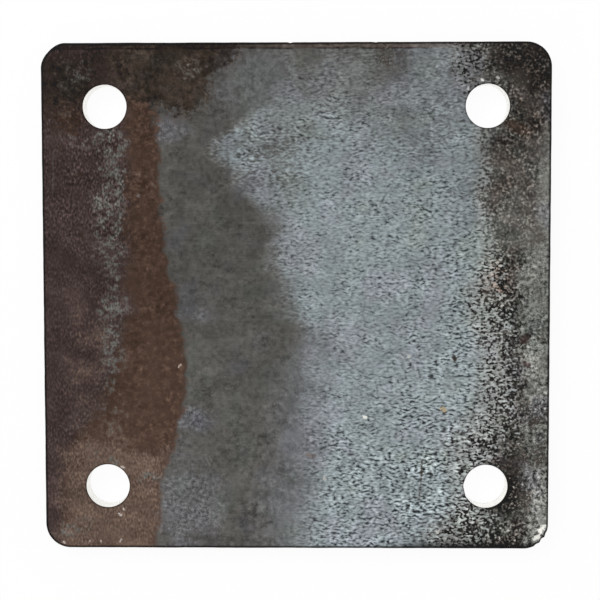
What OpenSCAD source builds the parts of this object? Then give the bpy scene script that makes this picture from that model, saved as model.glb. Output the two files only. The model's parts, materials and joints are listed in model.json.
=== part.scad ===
// Square steel base plate: one piece of hot-rolled plate, cut to size with rounded corners
// and pierced by a bolt hole near each corner. It lies flat on its underside.
// Millimetres, +Z up, origin at the middle of the underside.

/* [Plate] */
// Width of the plate along X
plate_w = 200; // [120:1:400]
// Depth of the plate along Y
plate_d = 200; // [120:1:400]
// Thickness of the plate
plate_t = 10; // [5:0.5:30]
// Radius of the four corners, seen from above
corner_r = 10; // [4:0.5:20]
// Bevel worn along the outer edges, above and below
edge_break = 0.5; // [0.2:0.1:1.5]

/* [Bolt holes] */
// Diameter of each bolt hole
hole_d = 17; // [9:0.5:26]
// Distance from a hole's centre to the nearest edge along X
hole_edge_x = 25; // [20:0.5:40]
// Distance from a hole's centre to the nearest edge along Y
hole_edge_y = 25; // [20:0.5:40]
// Bevel left by deburring the rim of each hole, above and below
hole_break = 0.3; // [0.2:0.1:1.5]

/* [Hidden] */
// Smoothness of the round faces
$fn = 96;
// Distance that a hole's cutter reaches past each face of the plate
cut_margin = 1;
// Half the distances between the centres of the bolt holes
hole_x = plate_w / 2 - hole_edge_x;
hole_y = plate_d / 2 - hole_edge_y;
hole_r = hole_d / 2;
// Half the distances between the centres of the corner arcs
corner_x = plate_w / 2 - corner_r;
corner_y = plate_d / 2 - corner_r;
// Colour of the scaled and rusted steel
steel_colour = [0.38, 0.40, 0.40];

// Repeats its children at the four places (x, y), (-x, y), (x, -y) and (-x, -y)
module at_four_corners(x, y) {
    for (side_x = [-1, 1], side_y = [-1, 1])
        translate([side_x * x, side_y * y, 0]) children();
}

// Cross-section of the plate, half_width to either side of the middle, with all four edges bevelled
module edge_section(half_width) {
    polygon([
        [-half_width + edge_break, 0],
        [half_width - edge_break, 0],
        [half_width, edge_break],
        [half_width, plate_t - edge_break],
        [half_width - edge_break, plate_t],
        [-half_width + edge_break, plate_t],
        [-half_width, plate_t - edge_break],
        [-half_width, edge_break],
    ]);
}

// Slab between the corner arcs that carries the front and back edges
module slab_along_x() {
    rotate([90, 0, 90]) linear_extrude(2 * corner_x, center = true) edge_section(plate_d / 2);
}

// Slab between the corner arcs that carries the left and right edges
module slab_along_y() {
    rotate([90, 0, 0]) linear_extrude(2 * corner_y, center = true) edge_section(plate_w / 2);
}

// Disc that rounds one corner, with the same bevels as the straight edges
module corner_disc() {
    rotate_extrude() polygon([
        [0, 0],
        [corner_r - edge_break, 0],
        [corner_r, edge_break],
        [corner_r, plate_t - edge_break],
        [corner_r - edge_break, plate_t],
        [0, plate_t],
    ]);
}

// The blank as it was cut from the sheet, before the holes
module blank() {
    slab_along_x();
    slab_along_y();
    at_four_corners(corner_x, corner_y) corner_disc();
}

// Cutter for one bolt hole: a straight bore that flares through both rims
module bolt_hole() {
    flare_r = hole_r + hole_break + cut_margin;
    rotate_extrude() polygon([
        [0, -cut_margin],
        [flare_r, -cut_margin],
        [hole_r, hole_break],
        [hole_r, plate_t - hole_break],
        [flare_r, plate_t + cut_margin],
        [0, plate_t + cut_margin],
    ]);
}

module plate() {
    color(steel_colour) difference() {
        blank();
        at_four_corners(hole_x, hole_y) bolt_hole();
    }
}

plate();
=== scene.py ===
"""Dresses a square steel base plate in mill scale, rust and worn edges, lying flat under a camera.

The plate is one closed mesh worked out with numpy. A net of grids covers both faces, a profile is
carried round the outline and round each bolt hole, and the welded net is then sunk into its relief.
What grew on the steel, and some painted shade, is told by a few fields over each face, in millimetres,
which the mesh carries as attributes. The finish reads them and adds the grain that is finer than the net.
"""

import json
import logging
import math
from dataclasses import dataclass, field
from enum import Enum

import bpy
import numpy as np
from mathutils import Matrix, Vector

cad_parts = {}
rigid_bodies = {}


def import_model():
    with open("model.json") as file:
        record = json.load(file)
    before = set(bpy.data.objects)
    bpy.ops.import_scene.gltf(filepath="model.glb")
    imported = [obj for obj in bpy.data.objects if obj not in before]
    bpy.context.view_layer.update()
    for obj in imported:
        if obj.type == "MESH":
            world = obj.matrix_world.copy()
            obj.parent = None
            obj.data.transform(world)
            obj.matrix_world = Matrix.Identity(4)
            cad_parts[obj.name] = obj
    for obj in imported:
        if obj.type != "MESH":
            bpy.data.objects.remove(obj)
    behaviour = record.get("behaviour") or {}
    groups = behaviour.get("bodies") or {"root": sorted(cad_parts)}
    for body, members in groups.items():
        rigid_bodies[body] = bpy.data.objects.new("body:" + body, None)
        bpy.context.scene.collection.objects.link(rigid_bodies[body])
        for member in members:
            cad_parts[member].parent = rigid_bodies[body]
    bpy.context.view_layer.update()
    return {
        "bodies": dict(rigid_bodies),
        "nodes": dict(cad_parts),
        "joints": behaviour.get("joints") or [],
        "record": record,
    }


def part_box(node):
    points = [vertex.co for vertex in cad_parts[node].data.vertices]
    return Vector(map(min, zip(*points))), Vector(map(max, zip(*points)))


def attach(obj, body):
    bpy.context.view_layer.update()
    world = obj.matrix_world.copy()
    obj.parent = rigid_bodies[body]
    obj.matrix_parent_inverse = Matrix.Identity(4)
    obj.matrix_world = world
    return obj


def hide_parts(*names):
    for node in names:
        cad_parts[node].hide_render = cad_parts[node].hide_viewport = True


Socket = bpy.types.NodeSocket
LOG = logging.getLogger("base_plate")
MM = 0.001
# Points closer than this, in millimetres, are one point of the net.
WELD_STEP = 1e-4
# Power that turns a lightness as the eye sees it, 0 to 1, into linear light.
GAMMA = 2.2
# Least linear light of a colour.
LEAST_LIGHT = 0.001
# Brings a solid noise, which strays by about an eighth round a half, to stray by about 1.
NOISE_GAIN = 8.0
# Noise at which a pit begins, and at which it is full.
PIT_RANGE = (0.1, 0.7)
# Height of a normal at which a face begins, and at which it is all face.
FACE_RANGE = (0.6, 0.95)
# Height of a normal at which the underside begins, and at which it is all underside.
UNDER_RANGE = (-0.2, -0.7)
# Height of a normal, up or down, at which a wall begins, and at which it is all wall.
WALL_RANGE = (0.9, 0.55)
# The same for the bright part of a hole's wall.
BORE_RANGE = (0.5, 0.2)


class Zone(Enum):
    """Stretches of the plate's surface, each with the left, low, width and height of its place on the map."""

    TOP = (0.004, 0.076, 0.66, 0.92)
    UNDERSIDE = (0.672, 0.076, 0.324, 0.92)
    OUTLINE = (0.004, 0.04, 0.992, 0.028)
    BORE = (0.004, 0.006, 0.992, 0.028)

    def on_map(self, chart: np.ndarray) -> np.ndarray:
        """Places on the whole map of places on the stretch's own map."""
        left, low, width, height = self.value
        return chart * (width, height) + (left, low)


class Hue(Enum):
    """Tints of the surface as red, green and blue next to a grey of the same lightness."""

    OLIVE = (1.029, 1.004, 0.966)
    HAZE = (0.990, 0.998, 1.012)
    LILAC = (1.000, 0.992, 1.010)
    CAP = (1.130, 0.985, 0.880)
    RUST = (1.200, 0.962, 0.838)
    UMBER = (1.126, 0.954, 0.923)
    BROWN = (1.155, 0.972, 0.870)
    FROST = (1.015, 1.008, 0.968)
    SCALE = (0.950, 1.014, 1.036)
    FLAKED = (1.045, 1.000, 0.955)
    STRIP = (1.010, 1.015, 0.975)
    # Dark tint of soot, also given to painted shade.
    SOOT_AND_SHADE = (1.058, 0.996, 0.942)
    VIOLET = (0.980, 0.985, 1.045)
    MOSS = (0.975, 1.030, 0.990)
    OCHRE = (1.120, 1.020, 0.820)
    BARE = (1.010, 1.005, 0.985)

    @property
    def linear(self) -> tuple[float, float, float, float]:
        """The tint as factors in linear light, as the nodes take it."""
        red, green, blue = (level**GAMMA for level in self.value)
        return red, green, blue, 1.0


class Grit(Enum):
    """Kinds of fine grain that a coat can have."""

    MOTTLE = "soft mottles"
    SPECK = "sharp specks"
    CRACKLE = "wrinkles along the rolling direction"
    FLAKE = "broken flakes"
    BLOTCH = "blotches of many sizes"


@dataclass(frozen=True)
class Coat:
    """One kind of surface that lies on the steel.

    Attributes:
        name: name of the attribute that tells its share.
        light: its lightness as the eye sees it, 0 black to 1 white.
        hue: its tint.
        grit: kind of its fine grain.
        contrast: strength of that grain, as a share of its lightness.
        skew: how far the grain leans to bright specks or, under 0, to dark pits.
        patchy: strength of its wide patches, as a share of its lightness.
        fray: how far bright grain eats into its border or, under 0, dark grain.
        drift: how far wide patches do.
        tear: kinds of grain that do, its own where none is named.
        soft: how softly its border fades, 0.1 hard to 0.5 all across.
    """

    name: str
    light: float
    hue: Hue
    grit: Grit
    contrast: float
    skew: float = 0.0
    patchy: float = 0.05
    fray: float = 0.25
    drift: float = 0.25
    tear: tuple[Grit, ...] = ()
    soft: float = 0.45


# The steel's own smooth skin, and the coats that lie on it, each over the ones before.
SKIN = Coat("skin", 0.325, Hue.OLIVE, Grit.MOTTLE, 0.085, skew=-0.10, patchy=0.06)
COATS = (
    Coat("haze", 0.395, Hue.HAZE, Grit.MOTTLE, 0.090, fray=0.2, drift=0.3, soft=0.5),
    Coat("lilac", 0.378, Hue.LILAC, Grit.BLOTCH, 0.175, fray=0.2, drift=0.4, soft=0.5),
    Coat("cap", 0.210, Hue.CAP, Grit.MOTTLE, 0.150, skew=0.10, patchy=0.10, fray=0.6, drift=0.4,
         tear=(Grit.BLOTCH,), soft=0.3),
    Coat("rust", 0.243, Hue.RUST, Grit.MOTTLE, 0.115, skew=0.20, patchy=0.03, fray=0.35, drift=0.2,
         soft=0.22),
    Coat("umber", 0.234, Hue.UMBER, Grit.SPECK, 0.120, skew=0.12, patchy=0.08, fray=0.4, drift=0.4,
         tear=(Grit.BLOTCH,), soft=0.35),
    Coat("brown", 0.316, Hue.BROWN, Grit.SPECK, 0.115, skew=0.05, patchy=0.07, fray=0.5, drift=0.4,
         tear=(Grit.BLOTCH,), soft=0.35),
    Coat("frost", 0.350, Hue.FROST, Grit.SPECK, 0.130, patchy=0.10, fray=0.75, drift=0.4,
         tear=(Grit.MOTTLE,), soft=0.36),
    Coat("scale", 0.548, Hue.SCALE, Grit.CRACKLE, 0.125, skew=-0.10, patchy=0.045, fray=0.24, drift=0.16,
         soft=0.5),
    Coat("flaked", 0.288, Hue.FLAKED, Grit.FLAKE, 0.330, skew=0.20, patchy=0.14, fray=-0.9,
         tear=(Grit.CRACKLE, Grit.FLAKE), soft=0.28),
    Coat("strip", 0.402, Hue.STRIP, Grit.BLOTCH, 0.340, skew=-0.04, patchy=0.06, fray=0.6, drift=0.3,
         soft=0.3),
    # Black patches, and painted shade round the lower right hole.
    Coat("soot_and_shade", 0.185, Hue.SOOT_AND_SHADE, Grit.FLAKE, 0.400, skew=0.25, patchy=0.12, fray=0.7, drift=0.4, soft=0.3),
)


@dataclass(frozen=True)
class Mark:
    """A scratch, a spot or a glint on the top face: a short straight line with round ends, in millimetres.

    Attributes:
        start: (x, y) of one end.
        end: (x, y) of the other end, the same for a spot.
        half: half its width.
        light: its lightness as the eye sees it.
        hue: its tint.
        strength: its share on the line.
    """

    start: tuple[float, float]
    end: tuple[float, float]
    half: float
    light: float
    hue: Hue
    strength: float = 0.8


# Scratches and spots that lie on the coats, and painted shade in a dark crescent by the lower right hole.
SCRATCHES = (
    Mark((-95.3, 57.5), (-95.6, 41.0), 0.40, 0.34, Hue.FROST, 0.5),
    Mark((-46.6, -27.6), (-45.8, -26.4), 0.45, 0.78, Hue.FROST),
    Mark((-36.0, -63.2), (-34.4, -66.8), 0.35, 0.46, Hue.FROST, 0.6),
    Mark((-34.6, -63.0), (-33.2, -66.0), 0.35, 0.46, Hue.FROST, 0.6),
    Mark((49.9, -64.5), (49.4, -73.0), 0.42, 0.22, Hue.FLAKED, 0.6),
    Mark((49.3, -74.0), (48.6, -80.5), 0.38, 0.26, Hue.FLAKED, 0.5),
    Mark((49.4, -69.4), (49.7, -70.6), 0.75, 0.24, Hue.FLAKED, 0.6),
    Mark((79.7, -18.0), (80.2, -31.0), 0.80, 0.56, Hue.FROST, 0.4),
    Mark((80.4, -47.0), (81.0, -61.0), 0.80, 0.58, Hue.FROST, 0.35),
    # Painted shade: these four marks are a dark crescent along the right side of the lower right hole's rim.
    Mark((76.6, -84.2), (80.3, -82.6), 0.60, 0.12, Hue.SOOT_AND_SHADE, 0.7),
    Mark((80.5, -82.5), (83.2, -79.7), 1.20, 0.10, Hue.SOOT_AND_SHADE, 0.95),
    Mark((83.4, -79.4), (84.4, -75.8), 1.40, 0.10, Hue.SOOT_AND_SHADE, 0.95),
    Mark((84.4, -75.4), (83.9, -71.7), 0.90, 0.12, Hue.SOOT_AND_SHADE, 0.8),
    Mark((57.6, -44.0), (58.6, -44.6), 0.95, 0.62, Hue.OCHRE, 0.9),
    Mark((89.6, -17.0), (90.4, -16.4), 1.60, 0.20, Hue.UMBER, 0.85),
    Mark((91.0, -14.6), (92.0, -15.4), 0.70, 0.14, Hue.SOOT_AND_SHADE, 0.8),
    Mark((95.0, -16.0), (98.0, -16.4), 0.40, 0.22, Hue.SOOT_AND_SHADE, 0.7),
    Mark((62.4, -24.0), (62.4, -24.0), 1.05, 0.16, Hue.SOOT_AND_SHADE, 0.9),
    Mark((90.2, -26.0), (91.4, -26.8), 0.90, 0.20, Hue.UMBER, 0.7),
    Mark((4.4, -62.4), (6.8, -63.2), 0.90, 0.42, Hue.BROWN, 0.35),
    Mark((56.3, -93.1), (56.3, -93.1), 0.75, 0.82, Hue.FROST),
    Mark((84.6, 67.4), (88.4, 66.0), 2.60, 0.20, Hue.RUST, 0.6),
    Mark((69.0, 84.4), (73.0, 86.8), 1.50, 0.46, Hue.FROST, 0.4),
    Mark((73.5, 87.0), (80.0, 86.6), 1.30, 0.40, Hue.FROST, 0.4),
    Mark((27.2, -47.3), (27.2, -47.3), 0.80, 0.94, Hue.FROST, 0.9),
    Mark((11.1, -71.4), (11.1, -72.2), 0.70, 0.78, Hue.FROST, 0.7),
    Mark((44.5, -23.3), (44.5, -23.3), 0.70, 0.78, Hue.FROST, 0.7),
    Mark((-61.9, 40.3), (-61.9, 40.3), 0.65, 0.48, Hue.HAZE),
    Mark((-85.1, 48.7), (-85.1, 48.7), 0.90, 0.18, Hue.RUST, 0.7),
    Mark((-84.9, 24.8), (-84.9, 24.8), 0.90, 0.18, Hue.RUST, 0.7),
)
# Places where the edge is worn to bare metal, painted near white: worn metal with painted highlights.
GLINTS = (
    Mark((96.6, -93.0), (98.0, -91.0), 1.20, 0.94, Hue.BARE, 0.95),
    Mark((94.8, -96.0), (96.2, -95.0), 0.90, 0.90, Hue.BARE, 0.95),
    Mark((97.0, -84.5), (97.2, -89.5), 0.80, 0.66, Hue.BARE, 0.6),
    Mark((93.0, -93.4), (93.4, -94.4), 0.60, 0.64, Hue.BARE, 0.7),
    Mark((-69.4, -67.5), (-68.6, -67.6), 0.50, 0.80, Hue.BARE),
    Mark((-68.7, -84.3), (-68.7, -84.3), 0.50, 0.80, Hue.BARE),
    Mark((-70.8, -86.3), (-70.0, -86.8), 0.40, 0.80, Hue.BARE),
    Mark((-92.8, -97.6), (-92.8, -97.6), 0.65, 0.84, Hue.BARE),
    Mark((-82.1, -97.2), (-82.1, -97.2), 0.45, 0.74, Hue.BARE),
    Mark((-77.9, -97.1), (-77.9, -97.1), 0.50, 0.78, Hue.BARE),
    Mark((-70.1, -97.0), (-70.1, -97.0), 0.55, 0.78, Hue.BARE),
    Mark((72.6, 85.2), (72.9, 85.0), 0.70, 0.90, Hue.BARE),
    Mark((67.2, 81.6), (67.4, 81.9), 0.60, 0.80, Hue.BARE, 0.8),
    Mark((78.8, 85.8), (79.0, 85.8), 0.65, 0.80, Hue.BARE, 0.8),
)


def ramp(low: float, high: float, value: np.ndarray) -> np.ndarray:
    """Rises from 0 at low to 1 at high along a straight line, and falls where high is under low."""
    return np.clip((value - low) / (high - low), 0.0, 1.0)


def smooth_step(low: float, high: float, value: np.ndarray) -> np.ndarray:
    """Rises from 0 at low to 1 at high along 3t^2 - 2t^3, and falls where high is under low."""
    t = ramp(low, high, value)
    return t * t * (3.0 - 2.0 * t)


def lay(under: np.ndarray, over: np.ndarray | float, share: np.ndarray) -> np.ndarray:
    """Lays a value or a field over another field: under plus share times the difference."""
    return under + (over - under) * share


@dataclass(frozen=True)
class Grain:
    """Seeded gradient noise over a flat face.

    Attributes:
        seed: seed of the random slopes.
        long: pitch of the lattice along X, in millimetres.
        tall: pitch of the lattice along Y, in millimetres.
        amount: about how far it strays from 0 either way.
    """

    seed: int
    long: float
    tall: float
    amount: float = 1.0

    # Slopes along a side of the lattice, after which it repeats, and what brings their blend to -1 to 1.
    LATTICE = 256
    SPREAD = 1.5

    def at(self, x: np.ndarray, y: np.ndarray) -> np.ndarray:
        """Blends the slopes of the four nearest lattice points by the curve 6t^5 - 15t^4 + 10t^3.

        Args:
            x: places along X, in millimetres.
            y: places along Y, in millimetres.

        Returns:
            The noise at each place.
        """
        angles = np.random.default_rng(self.seed).uniform(0.0, 2.0 * np.pi, (self.LATTICE, self.LATTICE))
        u, v = x / self.long, y / self.tall
        i, j = np.floor(u).astype(int), np.floor(v).astype(int)
        du, dv = u - i, v - j

        def slope(a: int, b: int) -> np.ndarray:
            """Height at each place on the slope that stands on lattice corner (a, b)."""
            angle = angles[(i + a) % self.LATTICE, (j + b) % self.LATTICE]
            return np.cos(angle) * (du - a) + np.sin(angle) * (dv - b)

        fade_u = du**3 * (du * (6.0 * du - 15.0) + 10.0)
        fade_v = dv**3 * (dv * (6.0 * dv - 15.0) + 10.0)
        near = lay(slope(0, 0), slope(1, 0), fade_u)
        far = lay(slope(0, 1), slope(1, 1), fade_u)
        return self.amount * self.SPREAD * lay(near, far, fade_v)


@dataclass(frozen=True)
class Blot:
    """An oval patch with a soft rim.

    Attributes:
        x: middle along X, in millimetres.
        y: middle along Y, in millimetres.
        half_x: half its width, in millimetres.
        half_y: half its height, in millimetres.
        amount: what it comes to in the middle.
    """

    x: float
    y: float
    half_x: float
    half_y: float
    amount: float = 1.0

    def share(self, x: np.ndarray, y: np.ndarray) -> np.ndarray:
        """Full to half of the oval's radius, a half at its radius and gone at one and a half times that."""
        radius = np.hypot((x - self.x) / self.half_x, (y - self.y) / self.half_y)
        return self.amount * np.clip(1.5 - radius, 0.0, 1.0)


def gather(blots: tuple[Blot, ...], x: np.ndarray, y: np.ndarray) -> np.ndarray:
    """The strongest share of several patches at each place."""
    return np.max([blot.share(x, y) for blot in blots], axis=0)


@dataclass(frozen=True)
class Stretch:
    """A part of a face with soft sides, each told by where it begins and where it is full, in millimetres.

    Attributes:
        left: side towards -X, none where the stretch has no end there.
        right: side towards +X.
        front: side towards -Y.
        back: side towards +Y.
        amount: what it comes to where it is full.
    """

    left: tuple[float, float] | None = None
    right: tuple[float, float] | None = None
    front: tuple[float, float] | None = None
    back: tuple[float, float] | None = None
    amount: float = 1.0

    def share(self, x: np.ndarray, y: np.ndarray) -> np.ndarray:
        """The amount, times what each side lets through at each place."""
        sides = ((self.left, x), (self.right, x), (self.front, y), (self.back, y))
        return self.amount * math.prod(smooth_step(*side, along) for side, along in sides if side)


@dataclass(frozen=True)
class Dial:
    """A setting that changes over a face.

    Attributes:
        base: its value where nothing is added.
        added: stretches and patches that add to it.
    """

    base: float
    added: tuple[Stretch | Blot, ...] = ()

    def at(self, x: np.ndarray, y: np.ndarray) -> np.ndarray | float:
        """The setting at each place."""
        return self.base + sum(part.share(x, y) for part in self.added)


@dataclass(frozen=True)
class Border:
    """A border that runs from the back of the plate to the front, between two kinds of surface.

    Attributes:
        width: width of the blend across it, in millimetres.
        bends: (y, x) of each bend in millimetres, from back to front, joined by straight lines.
    """

    width: Dial
    bends: tuple[tuple[float, float], ...]

    def passed(self, x: np.ndarray, y: np.ndarray) -> np.ndarray:
        """0 well before the border, a half on it and 1 well past it towards +X."""
        ys, xs = np.array(self.bends[::-1]).T
        return np.clip(0.5 + (x - np.interp(y, ys, xs)) / self.width.at(x, y), 0.0, 1.0)


# One number per place under each name.
Shares = dict[str, np.ndarray]


@dataclass(frozen=True)
class TopFace:
    """The face that shows: dark band, rust band, olive band, blue scale and flaked edge, left to right.

    Attributes:
        wander: noises by which borders and patches wander, in millimetres.
        cap_right: where the dark cap along the back ends.
        cap_front: Y at which the cap begins and at which it is full.
        cap_hides: share of the dark band's own coat that the cap takes away.
        left_rim: dark rim along the left edge.
        rim_cap: share of the cap's coat on that rim.
        rust_left: where the dark band gives way to the rust band.
        rust_right: where the rust band ends on the smooth skin.
        rust_back: where rust lies at all.
        bared_rust: patches of rust that show in the dark band.
        reddish: the rust band's side of the left part.
        brown_back: Y at which brown begins.
        brown_blend: how far on it is full.
        brown_lag: how much farther on it begins in the rust band.
        brown_less: how much less of it lies there.
        brown_left: X at which brown begins and at which it is full.
        dim_brown: thin brown on the dark band.
        frost_left: left border of the pale grains.
        frost_right: right border of the pale grains.
        frost_run: how far they run.
        pale_grains: more pale grains.
        haze_left: where the bluish haze begins.
        smoke: haze towards the back.
        lavender: patches of lilac on the smooth skin.
        lobes: noise that pulls the scale's left border into lobes, in millimetres.
        lobed: where it does.
        scale_left: where the blue scale begins.
        scale_hold: share of it that holds.
        worn_scale: patches where less of it holds.
        scale_right: where the scale breaks off.
        strip_left: where the paler strip along the right edge begins.
        soot_and_shade: black patches, and painted shade round the right side of the lower right hole.
        stained: patches stained by rust.
        wide: wide patches of light and shade.
        skin_sway: how much those do on the skin.
        scale_sway: how much those do on the scale.
        skin_shade: shade of the left part and the skin.
        scale_shade: shade of the scale.
        flaked_shade: shade of the flaked band.
        pale_strip: paler patches of it.
        dark_front_strip: darker strip along the front edge.
        corner_shade: painted shade that darkens the back left corner.
        lit_rust: paler front end of the rust band.
        skin_grain: strength of the grain on the left part and the skin.
        scale_grain: strength of the grain on the scale.
        flaked_grain: strength of the grain on the flaked band.
        held: flaked band's back end, where borders tear less.
        by_hole: upper right hole's surroundings, where they tear fully.
        faded: scale's left border, where they tear less.
        calm_scale: scale's back end, where they tear less and its grain is stronger.
        soot_breaks: how fast the soot_and_shade coat undoes that.
        waves: slow waves of the rolled face.
        pits: pits where the scale is gone.
        wrinkles: wrinkles where it holds.
        wave_mm: depth of the waves.
        bare_mm: depth of the face where the scale is gone.
        pit_mm: depth of the pits in it.
        wrinkle_mm: depth of the wrinkles.
        lip_mm: depth of the lip along the back edge.
        lip_run: distances from the back edge at which the lip begins and is full.
    """

    wander: tuple[Grain, ...] = (Grain(11, 11.0, 11.0, 2.2), Grain(12, 4.0, 4.0, 1.1))
    cap_right: Border = Border(Dial(9.0), ((100, -22), (92, -25), (87, -33), (70, -36)))
    cap_front: tuple[float, float] = (66.0, 80.0)
    cap_hides: float = 0.3
    left_rim: Stretch = Stretch(right=(-92.5, -98.0))
    rim_cap: Dial = Dial(0.25, (Stretch(front=(-60.0, 30.0), amount=0.5),))
    rust_left: Border = Border(
        Dial(12.0), ((100, -70), (60, -67), (-10, -67), (-30, -71), (-45, -78), (-60, -88), (-100, -92))
    )
    rust_right: Border = Border(
        Dial(5.0),
        ((100, -58), (76, -55), (66, -55), (57, -53), (34, -54), (18, -51.5), (-3, -46), (-17, -44),
         (-35, -43.5), (-46, -45), (-53, -48), (-66, -53), (-100, -56)),
    )
    rust_back: Stretch = Stretch(back=(86.0, 68.0))
    bared_rust: tuple[Blot, ...] = (Blot(-90, 74, 9, 18, 0.48),)
    reddish: Stretch = Stretch(left=(-78.0, -62.0))
    brown_back: float = -44.0
    brown_blend: float = 20.0
    brown_lag: float = 7.0
    brown_less: float = 0.22
    brown_left: tuple[float, float] = (-99.0, -87.0)
    dim_brown: Stretch = Stretch(back=(30.0, -20.0), amount=0.3)
    frost_left: Border = Border(Dial(7.0), ((100, -80), (60, -80), (20, -79), (0, -77), (-100, -78)))
    frost_right: Border = Border(
        Dial(4.0), ((100, -68), (46, -69), (28, -68), (0, -69), (-30, -69), (-100, -68))
    )
    frost_run: Stretch = Stretch(front=(-75.0, -25.0), back=(72.0, 62.0), amount=0.42)
    pale_grains: tuple[Blot, ...] = (
        Blot(-73, 60, 7, 5, 0.45), Blot(-71, 46, 3, 6, 0.7), Blot(-70, 28, 3, 5, 0.7),
        Blot(-75, -2, 3, 4, 0.55), Blot(-87, 88, 9, 9, 0.25), Blot(-89, 73, 6, 10, 0.22),
        Blot(-86, 62, 8, 5, 0.2), Blot(-42, 90, 8, 6, 0.25), Blot(-82, -50, 9, 8, 0.22),
        Blot(-58, -72, 5, 3, 0.35), Blot(-68, -16, 1.8, 36, 0.28), Blot(-80, -66, 10, 8, 0.15),
        Blot(-72, -64, 3, 2, 0.4), Blot(-88, -92, 8, 4, 0.28), Blot(-58, 46, 9, 6, 0.12),
    )
    haze_left: Border = Border(
        Dial(14.0), ((100, 40), (10, 40), (-15, 0), (-40, -9), (-65, -9), (-80, -15), (-100, -10))
    )
    smoke: tuple[Blot, ...] = (Blot(-14, 86, 11, 14, 0.8), Blot(-26, 80, 8, 9, 0.6))
    lavender: tuple[Blot, ...] = (
        Blot(-49, 66, 8, 5), Blot(-41, -6, 9, 4, 0.8), Blot(-40, -48, 8, 5), Blot(-42, -82, 13, 16, 0.9),
    )
    lobes: Grain = Grain(14, 10.0, 6.5, 3.0)
    lobed: Stretch = Stretch(front=(-10.0, 10.0))
    scale_left: Border = Border(
        Dial(11.0, (Stretch(back=(40.0, 15.0), amount=3.0), Stretch(back=(8.0, -20.0), amount=5.0))),
        ((100, -5), (90, -7), (80, -10), (73, -17), (67, -23), (62, -31), (57, -34), (53, -29), (50, -23),
         (46, -20), (40, -19), (34, -13), (28, -8), (15, -9), (1, -6), (-8, -1), (-13, 7), (-35, 7),
         (-44, 4), (-60, 8), (-71, 4), (-77, 7), (-85, 3), (-100, 3)),
    )
    scale_hold: Dial = Dial(0.40, (Stretch(back=(98.0, 42.0), amount=0.60),))
    worn_scale: tuple[Blot, ...] = (
        Blot(37, 93, 7, 7, 0.5), Blot(4, 95, 6, 4, 0.5), Blot(-9, 34, 10, 13, 0.3),
        Blot(60, -93, 16, 6, 0.35), Blot(72, 86, 8, 9, 0.3), Blot(57, -56, 6, 5, 0.3),
        Blot(68, -57, 8, 5, 0.25), Blot(66, 44, 7, 20, 0.2), Blot(-10, 52, 13, 15, 0.33),
        Blot(-2, 12, 8, 12, 0.2), Blot(16, -18, 8, 9, 0.25), Blot(50, 66, 14, 12, 0.25),
        Blot(-10, 86, 7, 12, 0.15),
    )
    scale_right: Border = Border(
        Dial(11.0, (
            Stretch(back=(26.0, 0.0), amount=15.0),
            Stretch(back=(-38.0, -52.0), amount=8.0),
            Stretch(front=(64.0, 84.0), amount=11.0),
        )),
        ((100, 68), (88, 70), (74, 74), (66, 74), (37, 73), (24, 76), (12, 78), (-3, 76), (-14, 79),
         (-30, 80), (-44, 80), (-52, 77), (-60, 72), (-75, 76), (-86, 71), (-100, 62)),
    )
    strip_left: Border = Border(
        Dial(9.0), ((100, 104), (70, 100), (52, 96), (30, 94), (10, 88), (-12, 88), (-25, 90), (-100, 90))
    )
    soot_and_shade: tuple[Blot, ...] = (
        # Blots at (82, -68), (84.5, -76.5), (88, -80) and (81.5, -83) are painted shade round the lower right
        # hole; the rest are black patches.
        Blot(86, 95, 8, 8, 0.9), Blot(95, 91, 9, 10, 0.92), Blot(36, 95, 7, 6, 0.42),
        Blot(90, 72, 7, 9, 0.42), Blot(82, -68, 7, 5, 0.5), Blot(84.5, -76.5, 4, 8, 0.75),
        Blot(88, -80, 5, 8, 0.4), Blot(95, 24, 3, 4, 0.5), Blot(94, -45, 7, 5, 0.58),
        Blot(94, -62, 6, 5, 0.52), Blot(81.5, -83, 5, 4, 0.7),
    )
    stained: tuple[Blot, ...] = (
        Blot(80, 8, 5, 13, 0.8), Blot(83, -66, 6, 4, 0.7), Blot(84, 50, 7, 12, 0.3),
        Blot(90, 70, 7, 8, 0.6), Blot(93, 90, 9, 9, 0.5),
    )
    wide: Grain = Grain(13, 42.0, 42.0)
    skin_sway: float = 0.03
    scale_sway: float = 0.035
    skin_shade: Dial = Dial(1.0, (Stretch(back=(10.0, -60.0), amount=0.07),))
    scale_shade: Dial = Dial(
        0.95, (Stretch(back=(60.0, 5.0), amount=0.05), Stretch(back=(-10.0, -40.0), amount=0.025))
    )
    flaked_shade: Dial = Dial(1.0, (Stretch(front=(8.0, 24.0), back=(62.0, 42.0), amount=0.24),))
    pale_strip: tuple[Blot, ...] = (
        Blot(93, -24, 5, 7, 0.28), Blot(96, -40, 3, 5, 0.168), Blot(94, 10, 4, 6, 0.112),
        Blot(91, -4, 4, 5, 0.112), Blot(96, -83, 4, 11, 0.252),
    )
    dark_front_strip: Stretch = Stretch(left=(25.0, 55.0), back=(-96.6, -98.8), amount=0.5)
    corner_shade: Stretch = Stretch(right=(-66.0, -82.0), front=(62.0, 84.0), amount=0.2)
    lit_rust: Stretch = Stretch(left=(-78.0, -62.0), back=(0.0, -25.0), amount=0.05)
    skin_grain: Dial = Dial(1.0, (
        Stretch(right=(-50.0, -70.0), front=(0.0, 40.0), amount=0.65),
        Stretch(left=(-60.0, -50.0), back=(-25.0, -60.0), amount=0.25),
    ))
    scale_grain: Dial = Dial(1.05, (
        Stretch(left=(30.0, 80.0), amount=0.75),
        Stretch(left=(30.0, 80.0), front=(12.0, 30.0), amount=-0.35),
        Stretch(back=(-25.0, -85.0), amount=0.65),
        Stretch(left=(50.0, 64.0), front=(72.0, 84.0), amount=0.5),
        Blot(60, -74, 18, 24, 0.4),
    ))
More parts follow.
